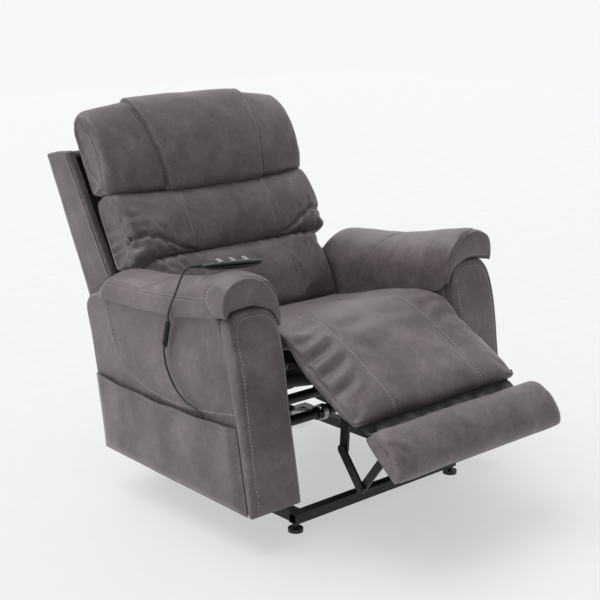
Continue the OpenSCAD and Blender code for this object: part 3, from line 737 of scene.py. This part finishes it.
def lower_roll():
    """The lower roll, between the arms, with small gathers where the middle roll presses on it."""
    outline = [(70, 98), (72, 150), (66, 198), (24, 204), (-14, 204), (-40, 193), (-54, 155), (-61, 100), (-62, 50),
               (-56, 10), (-40, -5), (-18, 4), (20, 60)]
    verts, faces = prism(outline, -285, 285, 14, 14, 7)
    verts = crown(verts, 285, 10, 0, 150, 200, 0, 0, 1)
    x, s, t = verts.T
    verts[:, 1] -= 9 * step_up(np.abs(x), 160, 215) * step_up(t, 160, 200) * step_up(10 - s, 0, 30)
    ob = new_object("back_lower_roll_leather", to_row(verts, "back"), faces, HIDE)
    seams = pair([(146, -20, 203), (146, -44, 182), (147, -54, 150), (148, -60, 100), (147, -61, 50),
                  (146, -52, 14)], "back")
    near = line_distance(ob, seams)
    inflate(ob, (near < 6) | (s > 40), 4.0, 10)
    subdivide(ob)
    flat = to_place(coords(ob), "back")
    front = step_up(30 - flat[:, 1], 0, 30)
    creases = [(-262, 208, -248, 160, 6.5, 3.6), (-222, 208, -206, 158, 6.5, 3.2), (-190, 206, -184, 176, 6, 2.0),
               (-262, 150, -226, 110, 9, 2.4), (-128, 204, -122, 170, 9, 1.4), (244, 208, 232, 158, 7, 3.0),
               (214, 206, 204, 166, 7, 2.8),
               (262, 150, 244, 90, 9, 2.0), (60, 204, 64, 176, 9, 1.2)]
    push(ob, front * folds(flat[:, [0, 2]], creases))
    rumple(ob, 1.3, 0.10, 1.9)
    laid = lay(ob, seams)
    groove(ob, laid, 3.2, 4.0)
    stitch("back", ob, laid, (4.5, -4.5))
    finish_piece(ob, "back", "back_cushion_lower")


# ---------- seat, leg pad and footrest ----------

# Where the cover starts and ends its bend over the leg pad's hinge
HINGE_START = tuple(to_row([(0, -318, 470)])[0])
HINGE_END = tuple(to_row([(0, -432, 408)])[0])


def seat():
    """One leather piece over the seat and the leg pad, bending at the leg pad's hinge."""
    outline = [(64, 376), (68, 408), (30, 421), (-20, 431), (-80, 447), (-180, 478), (-250, 495), (-292, 498),
               (-335, 490), (-382, 470), (-440, 442), (-500, 408), (-548, 380), (-574, 358), (-583, 338),
               (-576, 322), (-560, 322), (-480, 372), (-400, 420), (-352, 452), (-328, 449), (-200, 421),
               (-60, 391)]
    verts, faces = prism(outline, -285, 285, 16, 15, 10, cap_step=6)
    x, y, z = verts.T
    out = np.clip((np.abs(x) - 140) / 145, 0, 1) ** 2
    verts[:, 2] = z - 24 * out * step_up(-y, 330, 420) * step_up(z, 330, 360) * step_up(
        z - np.interp(y, [-583, -400, -352], [318, 420, 452]), 0, 20)
    ob = new_object("seat_and_leg_pad_leather", to_row(verts), faces, HIDE)
    seams = pair([(150, -60, 442), (156, -180, 478), (160, -250, 494), (153, -290, 497), (149, -330, 490),
                  (149, -389, 467), (149, -459, 430), (149, -527, 391), (149, -572, 359), (149, -583, 338)])
    near = line_distance(ob, seams)
    top = z - np.interp(y, [-583, -400, -352, -200, 60], [322, 420, 452, 421, 372])
    inflate(ob, (near < 6) | (top < 4), 4.0, 12)
    subdivide(ob)
    flat = to_place(coords(ob))
    up = step_up(normals(ob)[:, 2], 0.1, 0.5)
    creases = [(-278, -366, -176, -346, 11, 6.0), (-282, -410, -166, -386, 11, 7.0),
               (-282, -456, -172, -438, 11, 6.4), (-280, -508, -196, -494, 10, 4.0),
               (-250, -336, -160, -306, 14, 4.6), (-130, -352, 10, -322, 20, 4.4), (276, -392, 160, -416, 12, 5.2),
               (278, -448, 190, -462, 11, 4.0), (270, -340, 166, -362, 14, 4.6), (20, -330, 132, -352, 20, 3.4),
               (-120, -440, -20, -424, 24, 2.4), (20, -400, 130, -424, 24, 2.4), (-140, -536, -50, -552, 18, 2.0),
               (50, -520, 140, -504, 18, 2.0), (-230, -238, -140, -268, 14, 3.4), (180, -250, 262, -286, 16, 3.2)]
    push(ob, up * folds(flat[:, :2], creases))
    rumple(ob, 2.0, 0.13, 5.3)
    laid = lay(ob, seams)
    edge = [(284, -360, 466), (284, -412, 437), (284, -464, 404), (284, -552, 349), (284, -578, 332)]
    groove(ob, laid + lay(ob, pair(edge)), 3.0, 4.0)
    stitch("seat", ob, laid, (4.5, -4.5))
    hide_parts("seat_cushion", "chaise_pad")
    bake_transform(ob)
    sew("seat", "seat_stitching", blend=("seat", "chaise", HINGE_START, HINGE_END))


def footrest():
    """The footrest pad, with a hem groove along its front edge."""
    outline = [(-18, 27), (-12, 48), (-20, 66), (-44, 77), (-70, 80), (-98, 78), (-130, 66), (-144, 50), (-141, 32),
               (-130, 26), (-70, 25)]
    verts, faces = prism(outline, -290, 290, 34, 22, 8, cap_step=7, bulge=2,
                         weight=lambda a, b: step_up(b, 26, 60))
    ob = new_object("footrest_pad_leather", to_row(verts, "footrest"), faces, HIDE)
    inflate(ob, verts[:, 2] < 30, 4.0, 10)
    subdivide(ob)
    flat = to_place(coords(ob), "footrest")
    creases = [(-280, -60, -240, -100, 9, 1.8), (-284, -110, -250, -130, 7, 1.6), (282, -50, 246, -92, 9, 1.6),
               (-40, -30, 10, -52, 16, 1.2), (120, -40, 90, -80, 16, 1.0)]
    up = step_up(flat[:, 2], 40, 60)
    push(ob, up * folds(flat[:, :2], creases))
    rumple(ob, 2.0, 0.12, 8.8)
    hem = to_row(spaced(np.array([(-284, -141, 34), (284, -141, 34)], float), 6), "footrest")
    groove(ob, lay(ob, [hem]), 2.2, 3.5)
    finish_piece(ob, "footrest", "footrest_pad")


FLAP_WIDTH, FLAP_DEPTH = 0.524, 0.078


def gap_flap():
    """The dark cloth strip that closes the gap between the leg pad and the footrest."""
    a = to_row([(0, -222, -4)], "chaise")[0]
    b = to_row([(0, -19, 34)], "footrest")[0]
    nx, ny = 140, 16
    verts = []
    for side in (0, 1):
        for j in range(ny + 1):
            f = j / ny
            for i in range(nx + 1):
                x = FLAP_WIDTH * (i / nx - 0.5)
                p = a + (b - a) * f
                sag = -0.010 * math.sin(math.pi * f)
                wave = 0.0035 * math.sin(math.pi * f) * (
                    math.sin(x * 70 + 9 * f) + 0.6 * math.sin(x * 33 - 5 * f + 1) + 0.5 * math.sin(x * 128 + 3))
                verts.append((x, p[1] + wave * 0.3, p[2] + sag + wave - 0.0008 * side))
    ob = new_object("footrest_gap_flap", verts, sheet_faces(nx, ny), CLOTH)
    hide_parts("gap_flap")
    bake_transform(ob)


# ---------- arms ----------

def mirrored(verts, faces, sign):
    """The left arm's geometry, or its mirror image for the right arm."""
    if sign > 0:
        return verts, faces
    return verts * [-1, 1, 1], [f[::-1] for f in faces]


def low_edge(y):
    """Height of the seam under the arm pad on its outer side."""
    return np.interp(y, [-330, -309, -281, -154, -31, 106, 181], [560, 557, 550, 527, 516, 511, 510])


def arm_box(sign, name, node):
    """An arm's padded side box, with the curved seam across its outer side."""
    outline = [(-408, 92), (-100, 95), (188, 104), (222, 280), (250, 400), (268, 462), (266, 486), (250, 504),
               (213, 520), (176, 527), (-31, 531), (-154, 542), (-288, 560), (-302, 541), (-334, 432), (-367, 325),
               (-390, 200)]
    verts, faces = prism(outline, 301, 447, 12, 10, 9, cap_step=9, bulge=4, sharp=True)
    verts, faces = mirrored(verts, faces, sign)
    ob = new_object(name, to_row(verts), faces, HIDE)
    subdivide(ob)
    rumple(ob, 1.4, 0.16, 2.2 + sign)
    x = 452 * sign
    curve = smooth_curve([(x, 168, 505), (x, 150, 450), (x, 119, 385), (x, 75, 345), (x, 21, 318), (x, -60, 304),
                          (x, -145, 303), (x, -250, 312), (x, -356, 329)])
    laid = lay(ob, [to_row(curve)])
    groove(ob, laid, 2.2, 4.0)
    stitch(name, ob, laid, [4.0 * sign])
    finish_piece(ob, "chassis", node)
    sew(name, name.replace("leather", "stitching"), "chassis")


def front_panel(sign, name, node):
    """The tall padded panel on an arm's front. Its outline is in x and z, and it leans with the arm."""
    arch = [(300, 96), (303, 300), (303, 440), (305, 518), (313, 550), (332, 567), (360, 572), (400, 572),
            (430, 567), (446, 551), (453, 519), (455, 440), (455, 300), (452, 96)]
    dense = spaced(smooth_curve(arch), 8)
    bottom = spaced(np.array([(452, 92), (300, 92)], float), 8)
    ring = np.vstack([dense, bottom])
    centre = np.array([378.0, 330.0])
    face_y = lambda z: np.interp(z, [88, 390, 455, 500, 556, 572], [-419, -376, -364, -352, -334, -328])
    rear_y = lambda z: np.interp(z, [88, 325, 540, 560], [-400, -356, -297, -292])
    verts = []
    m = len(ring)
    inward = centre - ring
    for inset, f in [(6, 0.0), (1.5, 0.15), (0, 0.4), (0, 0.65), (2.5, 0.85), (7, 0.97)]:
        for p, d in zip(ring, inward):
            q = p + d / np.linalg.norm(d) * inset
            verts.append((q[0], rear_y(q[1]) + (face_y(q[1]) - rear_y(q[1])) * f, q[1]))
    rim = np.array([(v[0], v[2]) for v in verts[-m:]])
    spans = 16
    for k in range(1, spans):
        f = 1 - k / spans
        rise = 5.0 * (1 - f ** 6) + 2.0 * (1 - f ** 2)
        for q in centre + (rim - centre) * f:
            verts.append((q[0], face_y(q[1]) - 0.5 - rise * 0.5, q[1]))
    rows = len(verts) // m
    faces = loft_faces(rows, m)
    verts.append((centre[0], face_y(centre[1]) - 4, centre[1]))
    faces += [((rows - 1) * m + j, (rows - 1) * m + (j + 1) % m, len(verts) - 1) for j in range(m)]
    verts.append((centre[0], rear_y(centre[1]), centre[1]))
    faces += [((j + 1) % m, j, len(verts) - 1) for j in range(m)]
    verts, faces = mirrored(np.array(verts), faces, sign)
    ob = new_object(name, to_row(verts), faces, HIDE)
    subdivide(ob)
    rumple(ob, 1.0, 0.12, 4.0 + sign)
    border = smooth_curve([(438, 104), (441, 300), (441, 440), (440, 508), (434, 536), (420, 552), (396, 558),
                           (360, 558), (338, 553), (322, 540), (311, 510), (308, 440), (307, 300), (304, 104)])
    line = np.array([(sign * q[0], face_y(q[1]) - 2, q[1]) for q in border])
    laid = lay(ob, [to_row(line)])
    groove(ob, laid, 2.2, 3.5)
    stitch(name, ob, laid, [4.0 * sign])
    finish_piece(ob, "chassis", node)
    sew(name, name.replace("leather", "stitching"), "chassis")


PAD_POINTS = 56


def pad_ring(y, sign):
    """Outer and inner lines of the arm pad's section at y, from the outer foot over the top to the inner foot.
    The right pad swells up to the handset that lies on it."""
    low = float(low_edge(y))
    top = float(np.interp(y, [-336, -325, -300, -282, -229, -155, -79, 8, 81, 144, 176],
                          [642, 651, 651, 647, 636, 618, 605, 594, 590, 584, 566]))
    if sign < 0:
        top += 8 * step_up(y, -312, -270) * (1 - step_up(y, -225, -170))
    seat = float(np.interp(y, [-335, -304, -80, 137, 180], [522, 492, 432, 376, 368]))
    foot = max(seat, 372.0)
    outer = [(459, low + 1), (465, low + 14), (464, low + 0.45 * (top - low)), (455, top - 0.26 * (top - low)),
             (433, top - 8), (398, top), (352, top - 6), (318, top - 26), (299, top - 58), (291, top - 92)]
    outer = [p for p in outer if p[1] > foot + 26] + [(290, foot + 20), (291, foot)]
    inner = [(455, low + 1), (449, low + 9), (444, low + 14), (432, low + 16), (404, low + 17), (366, low + 15),
             (330, low + 2), (314, low - 10), (305, min(low - 30, top - 96)), (303, min(low - 42, top - 104))]
    inner = [p for p in inner if p[1] > foot + 12] + [(302, foot + 8), (301, foot)]
    return spaced(smooth_curve(outer), count=PAD_POINTS), spaced(smooth_curve(inner), count=PAD_POINTS)


def arm_pad(sign, name, node):
    """The pad over an arm: a curved slab lofted from front to rear, open below, closed at both ends."""
    ys = np.r_[[-334, -332, -328, -322, -314], np.arange(-304, 150, 9), [152, 160, 167, 173, 178, 181]]
    verts = []
    n = PAD_POINTS
    for y in ys:
        outer, inner = pad_ring(max(y, -329) if y < 0 else min(y, 172), sign)
        squeeze = 1.0
        if y < -314:
            squeeze = 1 - 0.05 * ((-314 - y) / 20) ** 2
        if y > 150:
            squeeze = 1 - 0.55 * ((y - 150) / 31) ** 2.4
        mid = (outer + inner) / 2
        ring = np.vstack([mid + (outer - mid) * squeeze, (mid + (inner - mid) * squeeze)[::-1]])
        if y > 150:
            ring[:, 1] -= 6 * ((y - 150) / 31) ** 2
        verts += [(x, y, z) for x, z in ring]
    m = 2 * n
    faces = loft_faces(len(ys), m)
    for first, bulge in ((0, -3.0), ((len(ys) - 1) * m, 2.0)):
        outer = [first + j for j in range(n)]
        inner = [first + m - 1 - j for j in range(n)]
        columns = [outer]
        for f in (0.2, 0.4, 0.6, 0.8):
            columns.append([len(verts) + j for j in range(n)])
            for a, b in zip(outer, inner):
                a, b = np.array(verts[a]), np.array(verts[b])
                verts.append(tuple(a + (b - a) * f + [0, bulge * math.sin(math.pi * f), 0]))
        columns.append(inner)
        for c0, c1 in zip(columns, columns[1:]):
            for j in range(n - 1):
                quad = (c0[j], c1[j], c1[j + 1], c0[j + 1])
                faces.append(quad if first == 0 else quad[::-1])
    verts, faces = mirrored(np.array(verts, float), faces, sign)
    ob = new_object(name, to_row(verts), faces, HIDE)
    front = [(459, -300, 556), (465, -272, 585), (462, -266, 612), (448, -285, 636), (427, -311, 650),
             (389, -328, 650), (347, -332, 636), (317, -332, 608), (290, -332, 562)]
    side = [(466, 172, 560), (467, 120, 566), (467, 0, 568), (466, -120, 576), (465, -200, 585), (464, -268, 592)]
    cross = [(292, 4, 440), (291, -14, 500), (300, -34, 556), (352, -66, 606), (398, -64, 605), (440, -40, 590),
             (463, 0, 570)]
    lines = [to_row(smooth_curve(line) * [sign, 1, 1]) for line in (front, side, cross)]
    near = line_distance(ob, lines)
    x, y, z = to_place(coords(ob)).T
    x = np.abs(x)
    underside = (x > 300) & (x < 452) & (z < low_edge(y) + 18)
    seat_side = (x < 309) & (z < 520)
    inflate(ob, (near < 5) | underside | seat_side | (y > 165), 3.5, 9)
    subdivide(ob)
    rumple(ob, 1.6, 0.12, 6.0 + sign)
    laid = lay(ob, lines)
    groove(ob, laid, 2.6, 4.0)
    stitch(name, ob, laid, (4.0 * sign, -4.0 * sign, 4.0 * sign))
    finish_piece(ob, "chassis", node)
    sew(name, name.replace("leather", "stitching"), "chassis")


def pocket():
    """The side pocket: a thin padded front, open along its top, with a bound edge."""
    nx, nz = 96, 34
    front, back = [], []
    for j in range(nz + 1):
        f = j / nz
        for i in range(nx + 1):
            g = i / nx
            y0, y1 = -399 + 39 * f, 187 + 32 * f
            y = y0 + (y1 - y0) * g
            top = np.interp(y, [-372, -86, 216], [304, 298, 303]) - 5 * math.sin(math.pi * g)
            low = np.interp(y, [-398, 185], [92, 104])
            z = low + (top - low) * f
            edge = min(g, 1 - g) * 580
            side = 1 - math.exp(-(edge / 16) ** 2)
            base = 1 - math.exp(-((z - low) / 14) ** 2)
            swell = 450.5 + 12.0 * side * base + 2.2 * math.sin(g * 23 + 2.2 * f) * side * base * (0.4 + f)
            front.append((-(swell + 2.2), y, z))
            back.append((-max(449.5, swell - 1.0 - 2.0 * side * base), y, z))
    ob = new_object("side_pocket_leather", to_row(front + back), sheet_faces(nx, nz), HIDE)
    subdivide(ob)
    rumple(ob, 0.8, 0.12, 9.0)
    hem = [(-468, y, z) for y, z in ((-348, 290), (-200, 286), (-86, 284), (60, 286), (200, 289))]
    groove(ob, lay(ob, [to_row(smooth_curve(hem))]), 1.4, 3.5)
    finish_piece(ob, "chassis", "side_pocket")


# ---------- wings and rear of the back ----------

def wings():
    """The two padded wings on the sides of the back, as one piece."""
    verts_all, faces_all = [], []
    for sign in (-1, 1):
        verts, faces = prism([(100, 202), (168, 194), (236, 186), (233, 400), (228, 608), (176, 594), (122, 574),
                              (112, 400)], 320.5, 345, 9, 8, 9, bulge=3, sharp=True)
        verts, faces = mirrored(verts, faces, sign)
        faces_all += [tuple(v + len(verts_all) for v in f) for f in faces]
        verts_all += [tuple(v) for v in verts]
    ob = new_object("back_wings_leather", to_row(verts_all, "back"), faces_all, HIDE)
    subdivide(ob)
    rumple(ob, 1.2, 0.12, 2.7)
    laid = lay(ob, [to_row(smooth_curve([(x, s, t) for s, t in line]), "back") for x in (-348, 348)
                    for line in ([(112, 212), (124, 400), (134, 566)], [(216, 200), (214, 400), (210, 594)])])
    groove(ob, laid, 1.8, 3.5)
    stitch("back", ob, laid, (-3.5, 3.5, -3.5, 3.5))
    finish_piece(ob, "back", "back_wings")


def rear_panels():
    """The stitched panel behind the back and the narrow one over its top."""
    rear = [(221, -12), (226, -19), (233, -12), (236, 150), (237, 300), (236, 450), (233, 596), (226, 604),
            (220, 590), (222, 300)]
    verts, faces = prism(rear, -318, 318, 5, 4, 9, sharp=True)
    ob = new_object("back_rear_panel_leather", to_row(verts, "back"), faces, HIDE)
    subdivide(ob)
    rumple(ob, 1.0, 0.15, 4.4)
    lines = [to_row(smooth_curve([(x, 238, -8), (x, 240, 300), (x, 238, 594)]), "back") for x in (-190, 190)]
    lines.append(to_row(smooth_curve([(-312, 237, 130), (0, 238, 126), (312, 237, 130)]), "back"))
    lines.append(to_row(smooth_curve([(-312, 234, 0), (0, 234, 0), (312, 234, 0)]), "back"))
    laid = lay(ob, lines)
    groove(ob, laid, 1.6, 3.5)
    stitch("back", ob, laid, [3.5] * len(laid))
    finish_piece(ob, "back", "back_rear_panel")
    top = [(122, 556), (124, 573), (170, 588), (222, 605), (223, 588), (170, 570)]
    verts, faces = prism(top, -318, 318, 4, 3, 9, sharp=True)
    lid = new_object("back_top_panel_leather", to_row(verts, "back"), faces, HIDE)
    subdivide(lid)
    finish_piece(lid, "back", "back_top_panel")


# ---------- handset ----------

HANDSET_AT = (-364, -242, 662)
HANDSET_TURN = math.radians(-18.8)


def handset():
    """Slim tapered handset body, lofted from rounded sections along its length."""
    c, s = math.cos(HANDSET_TURN), math.sin(HANDSET_TURN)

    def shell(name, rows, node):
        verts = []
        m, squareness = 40, 0.55
        for u, half_w, top, low in rows:
            for k in range(m):
                a = 2 * math.pi * k / m
                ca, sa = math.cos(a), math.sin(a)
                w = math.copysign(abs(ca) ** squareness, ca) * half_w
                h = math.copysign(abs(sa) ** squareness, sa)
                verts.append((u, w, (top + low) / 2 + h * (top - low) / 2))
        ends = [tuple(range(m - 1, -1, -1)), tuple((len(rows) - 1) * m + j for j in range(m))]
        u, v, w = np.array(verts).T
        placed = np.column_stack([u * c - v * s, u * s + v * c, w]) + HANDSET_AT
        ob = new_object(name, to_row(placed), loft_faces(len(rows), m) + ends, HANDSET)
        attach(ob, "chassis")
        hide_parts(node)

    lower, upper = [], []
    for u in np.linspace(-1, 1, 33):
        r = math.sqrt(max(0.0, 1 - abs(u) ** 5))
        w = 19 * (0.30 + 0.70 * r) * (0.86 + 0.14 * (1 - u * u))
        lower.append((76 * u, max(w - 1.2, 1), -1.2, -1.5 - (10.3 - 3.6 * u * u) * (0.25 + 0.75 * r)))
        upper.append((76.8 * u, w, -0.6 + 8.4 * (0.35 + 0.65 * r) * (1 - 0.22 * u * u), -1.0))
    shell("handset_lower_shell_body", lower, "handset_shell_lower")
    shell("handset_upper_shell_body", upper, "handset_shell_upper")


headrest()
middle_roll()
lower_roll()
seat()
footrest()
gap_flap()
for sign, word in ((1, "left"), (-1, "right")):
    arm_box(sign, f"arm_box_{word}_leather", f"arm_box_{word}")
    front_panel(sign, f"arm_front_panel_{word}_leather", f"arm_front_panel_{word}")
    arm_pad(sign, f"arm_pad_{word}_leather", f"arm_pad_{word}")
pocket()
wings()
rear_panels()
sew("back", "back_stitching", "back")
handset()

# The CAD nodes left in view take the material of their slot
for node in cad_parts.values():
    for place in node.material_slots:
        place.material = SLOT_MATERIALS[place.material.name.split(".")[0]]
